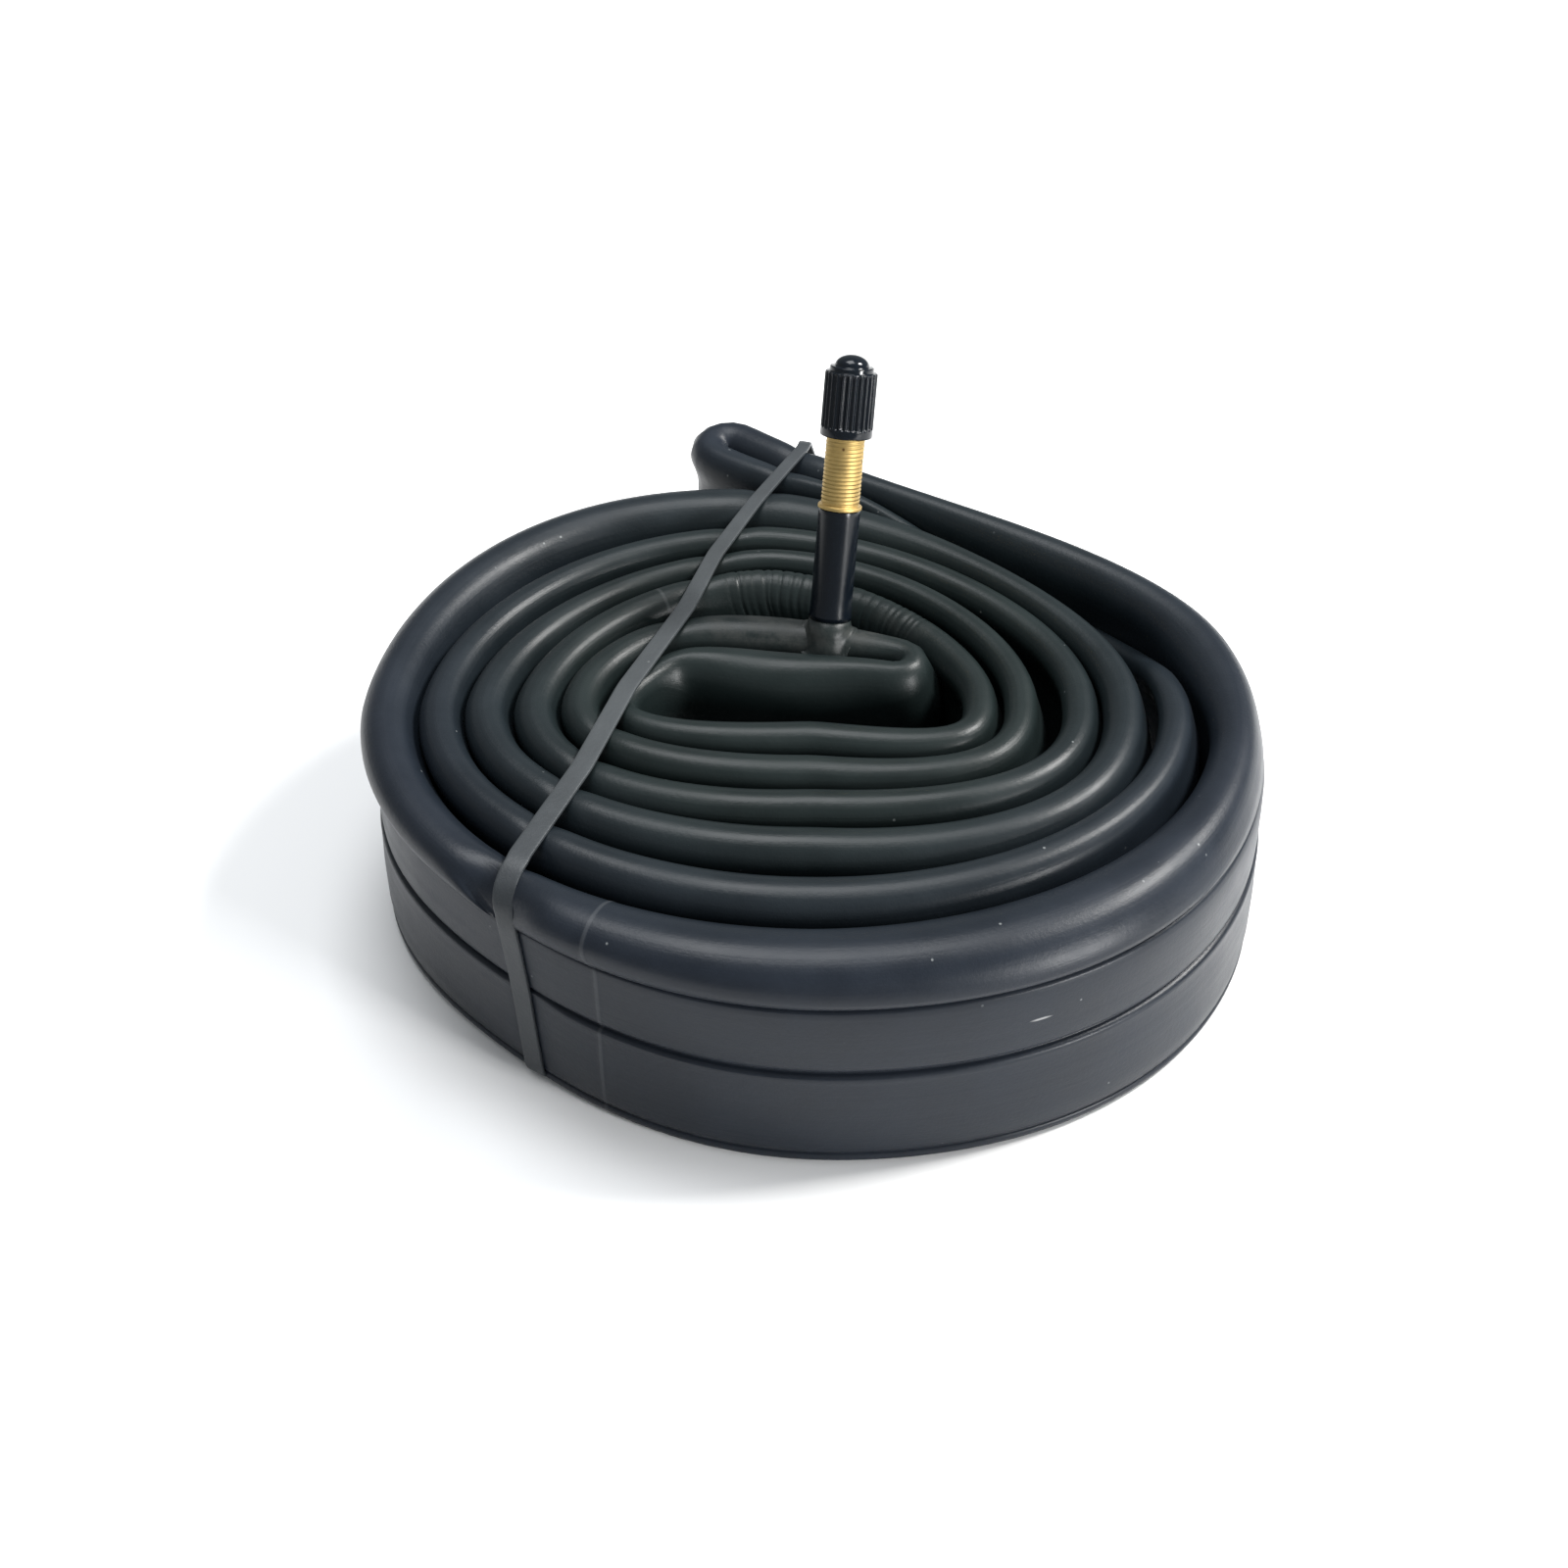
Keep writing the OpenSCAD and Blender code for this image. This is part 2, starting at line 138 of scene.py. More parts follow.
def turn(s, a):
    """Middle of strand s at turning angle a: (reach x cos a - shift, reach x sin a)."""
    a = np.asarray(a, float)
    sin = np.sin(np.radians(a))
    shift = np.where((sin > 0) & (a < 1080),
                     BACK_SHIFT[np.minimum(2 * (a // 360).astype(int) + s, 5)] * sin ** 2, 0)
    xy = np.stack([reach(s, a, 0) * np.cos(np.radians(a)) - shift, reach(s, a, 1) * sin], -1)
    return xy * (1 - corner(s, a, 1))[..., None]


def along(s, a):
    """Unit direction in which strand s runs at turning angle a."""
    d = turn(s, a + 0.5) - turn(s, a - 0.5)
    return d / np.linalg.norm(d)


def bezier(p, a, b, q, r):
    """A cubic curve from p to q, pulled towards a and b, at the shares r of its way."""
    r = column(r)
    return (1 - r) ** 3 * p + 3 * r * (1 - r) ** 2 * a + 3 * r * r * (1 - r) * b + r ** 3 * q


def strand(s):
    """One strand from the inner fold to the ear, as rows of x, y, room, strand, turning angle:
    a curved run from the fold, the turns, and a curved run out to the ear. The last one is drawn
    for the outer strand, and the inner strand keeps a gap to its left."""
    way = 1 if s == 1 else -1
    r = np.linspace(0, 1, 40, endpoint=False)
    middle = np.sin(np.pi * r) ** RUN_EASE
    p, q = np.array(HAIR) + unit(HAIR_DIR - 90) * way * HAIR_HALF, turn(s, TURNS_FROM)
    run = bezier(p, p + unit(HAIR_DIR) * HAIR_REACH, q - along(s, TURNS_FROM) * HAIR_JOIN, q, r)
    run[:, 1] -= RUN_SAG[s] * middle
    width = mix(HAIR_ROOM, room(s, np.array([TURNS_FROM]))[0], r) + RUN_SWELL[s] * middle
    first = np.column_stack([run, width, TURNS_FROM - (TURNS_FROM - HAIR_ANGLE) * (1 - r)])
    a = np.arange(TURNS_FROM, TURNS_TO + 0.1, 1.5)
    rolled = np.column_stack([turn(s, a), room(s, a), a])
    r = np.linspace(0, 1, 80)[1:]
    start, end = turn(1, TURNS_TO), np.array(EAR) + unit(EAR_DIR + 90) * EAR_HALF
    fine = np.linspace(0, 1, 801)
    line = bezier(start, start + along(1, TURNS_TO) * EAR_JOIN, end + unit(EAR_DIR) * EAR_REACH,
                  end, fine)
    d = np.gradient(line, axis=0)
    left = np.stack([-d[:, 1], d[:, 0]], 1) / np.linalg.norm(d, axis=1)[:, None]
    turns_gap = np.linalg.norm(turn(1, TURNS_TO) - turn(0, TURNS_TO))
    turns_room = room(s, np.array([TURNS_TO]))[0]
    gap = np.where(r < 0.5, mix(turns_gap, RUN_GAP, smooth(r / 0.45)),
                   mix(RUN_GAP, 2 * EAR_HALF, smooth((r - 0.66) / 0.34)))
    width = np.where(r < 0.5, mix(turns_room, RUN_ROOM[s], smooth(r / 0.3)),
                     mix(RUN_ROOM[s], EAR_ROOM, smooth((r - 0.7) / 0.3)))
    at = np.column_stack([np.interp(r, fine, line[:, k]) for k in (0, 1)])
    side = np.column_stack([np.interp(r, fine, left[:, k]) for k in (0, 1)])
    last = np.column_stack([at + (0 if s == 1 else side * column(gap)), width,
                            TURNS_TO + (EAR_ANGLE - TURNS_TO) * r])
    rows = np.vstack([first, rolled, last])
    return np.column_stack([rows[:, :3], np.full(len(rows), float(s)), rows[:, 3]])


def bend(c, half, start, width, from_s, angle):
    """Half a circle about c that joins the two strands at a fold, as rows like the strands'."""
    r = np.linspace(0, 1, 26)[1:-1]
    ones = np.ones(len(r))
    return np.column_stack([np.array(c) + unit(start + 180 * r) * half, ones * width,
                            np.abs(from_s - r), ones * angle])


def resampled(rows, step, soften, axes):
    """A closed line at even steps of its length, softened by a Gaussian of `soften` mm so that
    its pieces join without a kink. The first `axes` columns are its place."""
    closed = np.vstack([rows, rows[:1]])
    s = np.concatenate([[0], np.cumsum(np.linalg.norm(np.diff(closed[:, :axes], axis=0), axis=1))])
    n = int(round(s[-1] / step))
    even = np.linspace(0, s[-1], n, endpoint=False)
    out = np.column_stack([np.interp(even, s, closed[:, k]) for k in range(closed.shape[1])])
    low = column(np.exp(-2 * (np.pi * np.fft.fftfreq(n, s[-1] / n) * soften) ** 2))
    return even, s[-1], np.real(np.fft.ifft(np.fft.fft(out, axis=0) * low, axis=0))


rows = np.vstack([strand(1), bend(EAR, EAR_HALF, EAR_DIR + 90, EAR_ROOM, 1, EAR_ANGLE),
                  strand(0)[::-1],
                  bend(HAIR, HAIR_HALF, HAIR_DIR + 90, HAIR_ROOM, 0, HAIR_ANGLE)])
rows[:, :2] -= ROLL_MIDDLE
LINE_S, LINE_L, LINE = resampled(rows, 0.4, 1.1, 2)


def nearest(x, y, strand_no):
    """Row of the loop's line that is closest to (x, y) on one strand."""
    other_strand = np.abs(LINE[:, 3] - strand_no) > 0.5
    return np.argmin(np.hypot(LINE[:, 0] - x, LINE[:, 1] - y) + 1000 * other_strand)


def away(s, centre):
    """Signed distance along the loop from a place, the short way round."""
    return (s - centre + LINE_L / 2) % LINE_L - LINE_L / 2


# --- the stem's axis, as in the CAD part ---
STEM_FOOT = np.array([3.32211, 11.78, TUBE_H])
STEM_HEADING = 164.268
STEM_RIGHT, STEM_BACK = np.radians(5), np.radians(-22)
TURN_Y = np.array([[np.cos(STEM_RIGHT), 0, np.sin(STEM_RIGHT)], [0, 1, 0],
                   [-np.sin(STEM_RIGHT), 0, np.cos(STEM_RIGHT)]])
TURN_X = np.array([[1, 0, 0], [0, np.cos(STEM_BACK), -np.sin(STEM_BACK)],
                   [0, np.sin(STEM_BACK), np.cos(STEM_BACK)]])
STEM_TURN = TURN_Y @ TURN_X


def on_stem(p):
    """Points given about an upright stem, moved to where the stem stands and leans."""
    return p @ STEM_TURN.T + STEM_FOOT


def about_stem(r, a, h):
    """A grid of points r out from the stem's axis at angle a, and h up from its foot."""
    return on_stem(np.dstack([r * np.cos(a), r * np.sin(a), h]))


def round_angles(n):
    return np.radians(np.arange(n) * 360 / n)[None]


# --- features along the tube ---
# Wrinkles across the crown behind the stem, the splice on the outer turn, and a mould line
S_WRINKLE, WRINKLE_HALF = LINE_S[nearest(4.0, 29.5, 0)], 24.0
S_SPLICE = LINE_S[nearest(-39.0, -72.0, 1)]
S_LINE = LINE_S[nearest(-31.0, 24.0, 0)]
S_VALVE = LINE_S[nearest(STEM_FOOT[0], STEM_FOOT[1], 1)]

# --- rubber band ---
# Its line over the crowns from the ear to the front left, then x, y, z where it comes up the
# ear's back and turns over on to the crowns
BAND_TOP = np.array([[-1.2, 78.0], [-1.6, 76.2], [-4.8, 70.0], [-11.9, 55.8], [-19.9, 37.0],
                     [-25.5, 18.4], [-36.3, -7.2], [-43.9, -31.8], [-54.2, -57.6]])
BAND_BACK_FOOT = np.array([-1.8, 81.6])
BAND_BACK_SHOULDER = np.array([[-0.9, 81.6, 44.4], [-1.0, 80.6, 46.5]])
BAND_T, BAND_W = 0.9, 4.3
TAPER_Y, TAPER_W = [-60, -20, 40, 75], [BAND_W, 4.0, 3.3, 2.7]
BAND_Z = TUBE_H - 0.05
BAND_PRESS = 0.55
# Where it goes down over the outer turn: the turn's middle there, its way round and its outside.
# The band's inner face, as out from that middle and up from the floor, and its drift along.
SIDE_AT = nearest(-50.5, -60.0, 1)
SIDE_BASE, SIDE_OUT = LINE[SIDE_AT, :2], sides_of(LINE[:, :2])[SIDE_AT]
SIDE_ALONG = np.array([-SIDE_OUT[1], SIDE_OUT[0]])
WALL_UP, WALL_OUT = [0, 23, 39], [1.2, 1.6, 3.0]
SHOULDER_OUT, SHOULDER_UP = [-5.2, -2.6, 0.2, 2.0, 3.0], [47.6, 47.0, 45.2, 42.8, 39.0]
DRIFT_UP, DRIFT = [0.5, 23, 39, 48], [2.1, 0.2, -0.7, -4.1]
BAND_FRONT_FOOT = SIDE_BASE + WALL_OUT[0] * SIDE_OUT + DRIFT[0] * SIDE_ALONG


def distance_to(points, line):
    """Distance in plan from each point to a chain of straight segments."""
    best = np.full(points.shape[:-1], 1e3)
    for p, q in zip(line[:-1], line[1:]):
        d = q - p
        r = np.clip(((points - p) @ d) / (d @ d), 0, 1)
        best = np.minimum(best, np.linalg.norm(points - p - r[..., None] * d, axis=-1))
    return best


def station_places(coarse=2.3, fine=0.38):
    """Arc lengths of the sections: close together in the wrinkles, at the splice and by the
    rubber band."""
    by_wrinkles = smooth((WRINKLE_HALF + 4 - np.abs(away(LINE_S, S_WRINKLE))) / 6)
    by_splice = smooth((4 - np.abs(away(LINE_S, S_SPLICE))) / 2)
    by_band = smooth((9 - distance_to(LINE[:, :2], BAND_TOP)) / 5)
    rate = mix(1 / coarse, 1 / fine, np.clip(by_wrinkles + by_splice, 0, 1)) + 0.9 * by_band
    count = np.concatenate([[0], np.cumsum(rate) * LINE_L / len(LINE_S)])
    n = int(count[-1])
    return np.interp(np.arange(n) * count[-1] / n, count, np.append(LINE_S, LINE_L))


# Height above the floor, and how far the outer wall lies inside its bulges there: a fine groove
# at each edge of a flat middle band, and a thin lip at the floor
WALL_Z = [0, 0.9, 1.7, 2.4, 2.7, 3.1, 6, 13, 18, 21.4, 22.4, 22.8, 23.2, 23.6, 24.3, 30, 38.0,
          38.6, 39.0, 39.4, 39.9, 41.5, 44, 48]
WALL_IN = [1.5, 0.7, 0.45, 0.55, 1.3, 0.5, 0.15, 0, 0.1, 0.2, 0.1, 0.55, 1.7, 1.1, 0.55, 0.35,
           0.45, 0.8, 1.6, 0.9, 0.25, 0, 0, 0]
# Heights of the outer wall's rows, close together in its two grooves and its lip
RIGHT_WALL = np.array([39.9, 39.6, 39.4, 39.2, 39.0, 38.8, 38.6, 38.3, 37, 33, 28, 25, 24.2, 23.8,
                       23.6, 23.4, 23.2, 23.0, 22.8, 22.6, 22.3, 21.4, 20, 17, 13, 9, 6, 4, 3.1,
                       2.9, 2.7, 2.5, 2.3, 1.7, 1.0])
CROWN_STEPS, FOOT_STEPS = 12, 6
# How far the outer wall is tucked in under the band, by height
TUCK_Z, TUCK = [0, 23, 39, 44, 48], [5, 4, 2.9, 1, 0]
# Share of a strand's room that half a section fills: in the turns, in the outer turn and the
# ear, and what the ear's bend adds on its left
HALF_FILL, OUTER_FILL, FOLD_FILL = 0.485, 0.442, 0.13
# Height of a bulge over half its width, in the turns and at the ear, and the bulges' limits:
# at a right crown, a left crown and a foot, and where a side slopes
BULGE, EAR_BULGE = 1.15, 1.6
RIGHT_MAX, LEFT_MAX, FOOT_MAX, SLOPE_BULGE = 8.2, 8.5, 8.0, 13.0


def section_sizes(s, width, which, angle):
    """Right and left half widths, crown bulges and foot bulges of each section, its crown's
    height, and its shares of the outer turn (rim) and of the outer wall's grooves."""
    rim = which * smooth((angle - 690) / 60)
    groove = rim * (1 - smooth((angle - 1120) / 50))
    ear = smooth((angle - 1140) / 40)
    fold = smooth((angle - 1172) / 22)
    slope = which * smooth((angle - 1070) / 30) * (1 - smooth((angle - 1135) / 40))
    lee = which * bump(angle - 1048, 48)
    flank = (1 - which) * bump(angle - 438, 42)
    inner_run = (1 - which) * smooth((150 - angle) / 30)
    # the inner strand dips beside the ear, and inner crowns wave a little, but not at the valve
    drop = 12 * (1 - which) * smooth((angle - 1070) / 62) * (1 - smooth((angle - 1140) / 40))
    drop += 0.3 * (1 + np.sin(s / 21.0)) * (1 - rim) * (1 - bump(away(s, S_VALVE), 22))
    right = width * mix(HALF_FILL, OUTER_FILL, np.maximum(rim, ear))
    left = width * (HALF_FILL + FOLD_FILL * fold) + 3.2 * slope + 2.4 * lee
    bulge = np.minimum(mix(BULGE, EAR_BULGE, ear) * np.minimum(left, right), RIGHT_MAX)
    bulge_right = bulge + (14.0 - bulge) * flank + (11.0 - bulge) * inner_run
    bulge_left = mix(np.minimum(BULGE * left, LEFT_MAX), SLOPE_BULGE, np.maximum(slope, lee))
    foot_left = np.minimum(bulge, FOOT_MAX)
    foot_right = mix(foot_left, 0.9, groove)
    right = right + 4.2 * flank + 1.6 * inner_run
    return right, left, bulge_right, bulge_left, foot_right, foot_left, TUBE_H - drop, rim, groove


def wall_side(half, top, over, under, wall_share):
    """One side of each section from the crown's top to the foot's middle: x = half x cos(t), and
    z from the crown's bulge `over`, the straight wall at its shares, and the foot's bulge
    `under`. Returns x, z and the wall's columns."""
    t = np.radians(np.linspace(90, 0, CROWN_STEPS + 1))
    f = np.radians(np.linspace(0, -90, FOOT_STEPS + 1))
    crown_z = column(top) - column(over) * (1 - np.sin(t))[None]
    foot_z = column(under) * (1 + np.sin(f))[None]
    wall_z = mix(column(top - over), column(under), wall_share[None])
    x = np.hstack([column(half) * np.cos(t), column(half) * np.ones_like(wall_z),
                   column(half) * np.cos(f)])
    n = crown_z.shape[1]
    return x, np.hstack([crown_z, wall_z, foot_z]), slice(n, n + len(wall_share))


def tube_skin():
    """Closed skin of the tube. Across each section x = half width x cos(t), z = top - bulge x
    (1 - sin(t)) over the crown, then down the walls, and the same at the foot. The walls stand a
    little to the right of the crowns, and the outer wall is tucked in at the front left. The
    rubber band presses into the crowns and, between its two feet, lifts the tube off the floor.
    Returns the grid of points, the sections' places along the loop, and the girth at each row."""
    s = station_places()
    at = np.column_stack([np.interp(s, np.append(LINE_S, LINE_L), np.append(LINE[:, k], LINE[0, k]))
                          for k in range(5)])
    xy, width, which, angle = at[:, :2], at[:, 2], at[:, 3], at[:, 4]
    (right, left, bulge_right, bulge_left, foot_right, foot_left,
     top, rim, groove) = section_sizes(s, width, which, angle)

    even = np.linspace(0, 1, len(RIGHT_WALL) + 2)[1:-1]
    x_r, z_r, wall = wall_side(right, top, bulge_right, foot_right, even)
    grooved = np.minimum(RIGHT_WALL[None], column(top - bulge_right) - 0.01)
    grooved = np.maximum(grooved, column(foot_right) + 0.01)
    z_r[:, wall] = mix(z_r[:, wall], grooved, smooth(column(groove) * 3))
    tuck = column(rim * bump(angle - 945, 28)) * np.interp(z_r, TUCK_Z, TUCK)
    inward = np.interp(z_r, WALL_Z, WALL_IN) * column(groove) + tuck
    x_r = x_r - inward * np.clip(x_r / column(right), 0, 1)
    x_l, z_l, _ = wall_side(left, top, bulge_left, foot_left, np.linspace(0, 1, 9)[1:-1])

    # from the foot up the right wall, over the crown and down the left wall
    x = np.hstack([x_r[:, ::-1], -x_l[:, 1:-1]])
    z = np.hstack([z_r[:, ::-1], z_l[:, 1:-1]])
    x, z = wrinkled(s, x, z, column(left))
    ridge = 0.1 * bump(column(away(s, S_SPLICE)), 0.45) * column(rim)
    x = x + ridge * np.sign(x) * (np.abs(x) > column(right) * 0.6)
    plan = xy[:, None] + sides_of(xy)[:, None] * x[..., None]
    plan[..., 0] += CROWN_LEAN * smooth((45.5 - z) / 9)
    plan, z = pressed(plan, z)
    steps = np.hypot(np.diff(x, axis=1), np.diff(z, axis=1)).mean(0)
    return np.dstack([plan, z]), s, np.concatenate([[0], np.cumsum(steps)])


def pressed(plan, z):
    """The band's print: a shallow trough over the crowns, a pinch where it goes down over the
    outer turn, and the foot lifted over its run along the floor."""
    z = z - BAND_PRESS * bump(distance_to(plan, BAND_TOP), 3.0) * smooth((z - 38) / 8)
    out, along_way = (plan - SIDE_BASE) @ SIDE_OUT, (plan - SIDE_BASE) @ SIDE_ALONG
    near = bump(along_way - np.interp(z, DRIFT_UP, DRIFT), 7.0) * (out > -6) * (out < 9)
    inward = near * np.maximum(0, out - np.interp(z, WALL_UP, WALL_OUT))
    z = z - near * np.maximum(0, z - np.interp(out - inward, SHOULDER_OUT, SHOULDER_UP)) * (z > 38)
    plan = plan - inward[..., None] * SIDE_OUT
    under = distance_to(plan, np.array([BAND_BACK_FOOT, BAND_FRONT_FOOT]))
    return plan, np.maximum(z, 0.93 * smooth((5.5 - under) / 2.8))


def wrinkled(s, x, z, half):
    """Narrow valleys across the strand behind the stem, deepest at the crown's near shoulder."""
    rng = np.random.default_rng(7)
    d = away(s, S_WRINKLE)
    places = np.cumsum(rng.uniform(1.3, 2.6, 36))
    places += -WRINKLE_HALF - places[0]
    depth = rng.uniform(0.08, 0.32, len(places)) * (np.abs(places) < WRINKLE_HALF)
    widths = rng.uniform(0.25, 0.42, len(places))
    valley = column((depth * bump(column(d) - places, widths)).sum(1))
    side = np.clip(x / half, -1, 1)
    crown = smooth((z - TUBE_H + 16) / 10)
    return x - valley * side * crown, z - valley * crown * (1 - side ** 2) * 0.9


def mesh_object(name, points, closed_u, closed_v, uv=None):
    """A grid of points (u, v, xyz in mm) as a mesh piece in metres: u runs along, v runs round,
    and each face goes u, then v. Rows that meet in a pole merge. If the faces of a closed piece
    point inwards that way, they are turned outwards."""
    nu, nv = points.shape[:2]
    i = np.arange(nu if closed_u else nu - 1)[:, None]
    j = np.arange(nv if closed_v else nv - 1)[None]
    a, b = i * nv + j, (i + 1) % nu * nv + j
    c, d = (i + 1) % nu * nv + (j + 1) % nv, i * nv + (j + 1) % nv
    faces = np.stack([a, b, c, d], -1).reshape(-1, 4)
    mesh = bpy.data.meshes.new(name)
    mesh.vertices.add(nu * nv)
    mesh.vertices.foreach_set("co", (points.reshape(-1, 3) * MM).astype(np.float32).ravel())
    mesh.loops.add(faces.size)
    mesh.loops.foreach_set("vertex_index", faces.astype(np.int32).ravel())
    mesh.polygons.add(len(faces))
    mesh.polygons.foreach_set("loop_start", np.arange(0, faces.size, 4, dtype=np.int32))
    mesh.polygons.foreach_set("use_smooth", np.ones(len(faces), bool))
    mesh.update(calc_edges=True)
    if uv is not None:
        corners_u = np.stack([i + 0 * j, i + 1 + 0 * j, i + 1 + 0 * j, i + 0 * j], -1).reshape(-1)
        corners_v = np.stack([j + 0 * i, j + 0 * i, j + 1 + 0 * i, j + 1 + 0 * i], -1).reshape(-1)
        layer = mesh.uv_layers.new(name="along_round")
        co = np.stack([uv[0][corners_u], uv[1][corners_v]], -1) * MM
        layer.data.foreach_set("uv", co.astype(np.float32).ravel())
    made = bmesh.new()
    made.from_mesh(mesh)
    bmesh.ops.remove_doubles(made, verts=made.verts, dist=1e-7)
    if made.calc_volume(signed=True) < 0:
        bmesh.ops.reverse_faces(made, faces=made.faces)
    made.to_mesh(mesh)
    made.free()
    mesh.validate()
    obj = bpy.data.objects.new(name, mesh)
    bpy.context.scene.collection.objects.link(obj)
    return obj


def turned(profile, n, modulate=None):
    """A line of (radius, height) turned about the stem's axis: (r cos a, r sin a, h), on n
    angles, with the radius changed by modulate(r, h, a). Rows run along the profile."""
    r, h = (column(np.array(profile, float)[:, k]) * np.ones((1, n)) for k in (0, 1))
    a = round_angles(n)
    if modulate is not None:
        r = modulate(r, h, a)
    return about_stem(r, a, h)


def dense(profile, step):
    """More points along a profile, so that it is no longer than `step` between two."""
    p = np.array(profile, float)
    parts = [mix(p[i], p[i + 1], column(np.arange(m) / m)) for i in range(len(p) - 1)
             for m in [max(1, int(np.ceil(np.linalg.norm(p[i + 1] - p[i]) / step)))]]
    return np.vstack(parts + [p[-1:]])


def rounded(x, z, r, start, end, n=6):
    """Points of a corner of radius r about (x, z), from one angle to another."""
    a = np.radians(np.linspace(start, end, n))
    return np.column_stack([x + r * np.cos(a), z + r * np.sin(a)])


def band_ring():
    """The band's line and its outward direction: taut over the crowns, down over the outer turn at
    the front left, along the floor under the roll, and up the back of the ear."""
    t = BAND_T / 2
    over = [[0.1 * t, t], [0.5 * t, 0.9 * t], [0.8 * t, 0.7 * t], [t, 0.3 * t], [t, 0]]
    shoulder = dense(np.column_stack([SHOULDER_OUT, SHOULDER_UP]) + over, 0.8)
    wall = dense(np.column_stack([WALL_OUT[::-1], WALL_UP[::-1]]) + [[t, 0], [t, 0], [t, 2.0]],
                 1.5)
    side = np.vstack([shoulder, wall[1:]])
    drift = np.interp(side[:, 1], DRIFT_UP, DRIFT)
    front = np.column_stack([SIDE_BASE + column(side[:, 0]) * SIDE_OUT + column(drift) * SIDE_ALONG,
                             side[:, 1]])
    up = np.linspace(2.0, 42.0, 24)
    back = np.column_stack([np.tile(BAND_BACK_FOOT + [0.4, 0.35], (24, 1)), up])
    back[:, 0] += 0.7 * up / 42
    back = np.vstack([back, BAND_BACK_SHOULDER])
    top = dense(np.column_stack([BAND_TOP, np.full(len(BAND_TOP), BAND_Z)]), 1.5)
    floor_run = dense([[*BAND_FRONT_FOOT - 1.5 * SIDE_OUT, t],
                       [*BAND_BACK_FOOT - [0.5, 2.0], t]], 2.0)
    slant = column(smooth((side[:, 1] - 38) / 9.6))
    front_out = np.column_stack([(1 - slant) * SIDE_OUT, slant])
    pieces = [(top, np.tile([0, 0, 1], (len(top), 1))), (front[1:], front_out[1:]),
              (floor_run, np.tile([0, 0, -1], (len(floor_run), 1))),
              (back, np.tile([0.2, 0.98, 0], (len(back), 1)))]
    rows = np.vstack([np.column_stack(p) for p in pieces])
    return resampled(rows, 0.7, 0.8, 3)[2]


def band_skin(ring):
    """A flat closed section carried round the ring: width / 2 x |cos a|^0.28 across, thickness / 2
    x |sin a|^0.28 outwards. It is 4.3 mm wide at the front left and narrows to 2.7 mm at the ear,
    where it is taut."""
    place, out = ring[:, :3], ring[:, 3:6]
    way = np.roll(place, -1, 0) - np.roll(place, 1, 0)
    way /= np.linalg.norm(way, axis=1)[:, None]
    out = out - way * (way * out).sum(1)[:, None]
    out /= np.linalg.norm(out, axis=1)[:, None]
    across = np.cross(out, way)
    on_top = smooth((place[:, 2] - 40) / 7)
    width = mix(BAND_W, np.interp(place[:, 1], TAPER_Y, TAPER_W), on_top)
    a = np.radians(np.arange(24) * 15 + 7.5)
    sx, sy = (np.sign(f(a)) * np.abs(f(a)) ** 0.28 for f in (np.cos, np.sin))
    return (place[:, None] + across[:, None] * (column(width) * sx[None] / 2)[..., None]
            + out[:, None] * (sy * (BAND_T - 0.04) / 2)[None, :, None])


SLEEVE_R, SLEEVE_BORE_R, SLEEVE_LOW, SLEEVE_TOP = 4.15, 3.12, 2.0, 24.5
CAP_THREAD_R, CAP_PITCH, MOUTH = 3.85, 0.794, 49.0
CORE_PITCH = 0.706
PAD_R = 5.7


def pad_skin():
    """The valve's pad, in rings about the stem: each point lies on the strand's crown, z = top -
    bulge x (1 - sqrt(1 - (across / half)^2)), and rises as a fillet to meet the sleeve. The last
    rings go in over the sleeve's lower end, down its bore and back out under the pad."""
    half = HALF_FILL * np.interp(S_VALVE, LINE_S, LINE[:, 2])
    a = round_angles(72)
    side = unit(STEM_HEADING - 90)
    rho = column(np.concatenate([np.linspace(PAD_R, 4.3, 14),
                                 [SLEEVE_R, SLEEVE_BORE_R, SLEEVE_BORE_R, PAD_R - 0.2]]))
    h = 0 * rho * a
    for _ in range(3):
        p = about_stem(rho, a, h)
        off = np.clip(np.abs((p[..., :2] - STEM_FOOT[:2]) @ side) / half, 0, 0.93)
        gap = TUBE_H - BULGE * half * (1 - np.sqrt(1 - off ** 2)) - p[..., 2]
        h = h + gap / STEM_TURN[2, 2]
    rise = np.clip((PAD_R - rho) / (PAD_R - SLEEVE_R), 0, 1)
    top = mix(h + 0.12 * smooth(rise * 4) - 0.06, SLEEVE_LOW, rise ** 6)
    top[-4:-2], top[-2], top[-1] = SLEEVE_LOW, -1.5, h[-1] - 0.8
    return about_stem(rho, a, top)


def sleeve_profile():
    """The sleeve's wall, 4.15 + 0.12 x exp(-((height - low) / 2.2)^2), its rounded top edge and
    its bore."""
    wall = np.linspace(SLEEVE_LOW, SLEEVE_TOP - 0.35, 30)
    bare = np.column_stack([SLEEVE_R + 0.12 * bump(wall - SLEEVE_LOW, 2.2), wall])
    return np.vstack([[[SLEEVE_BORE_R, SLEEVE_LOW]], bare,
                      rounded(SLEEVE_R - 0.3, SLEEVE_TOP - 0.35, 0.3, 0, 90),
                      [[SLEEVE_BORE_R, SLEEVE_TOP]]])


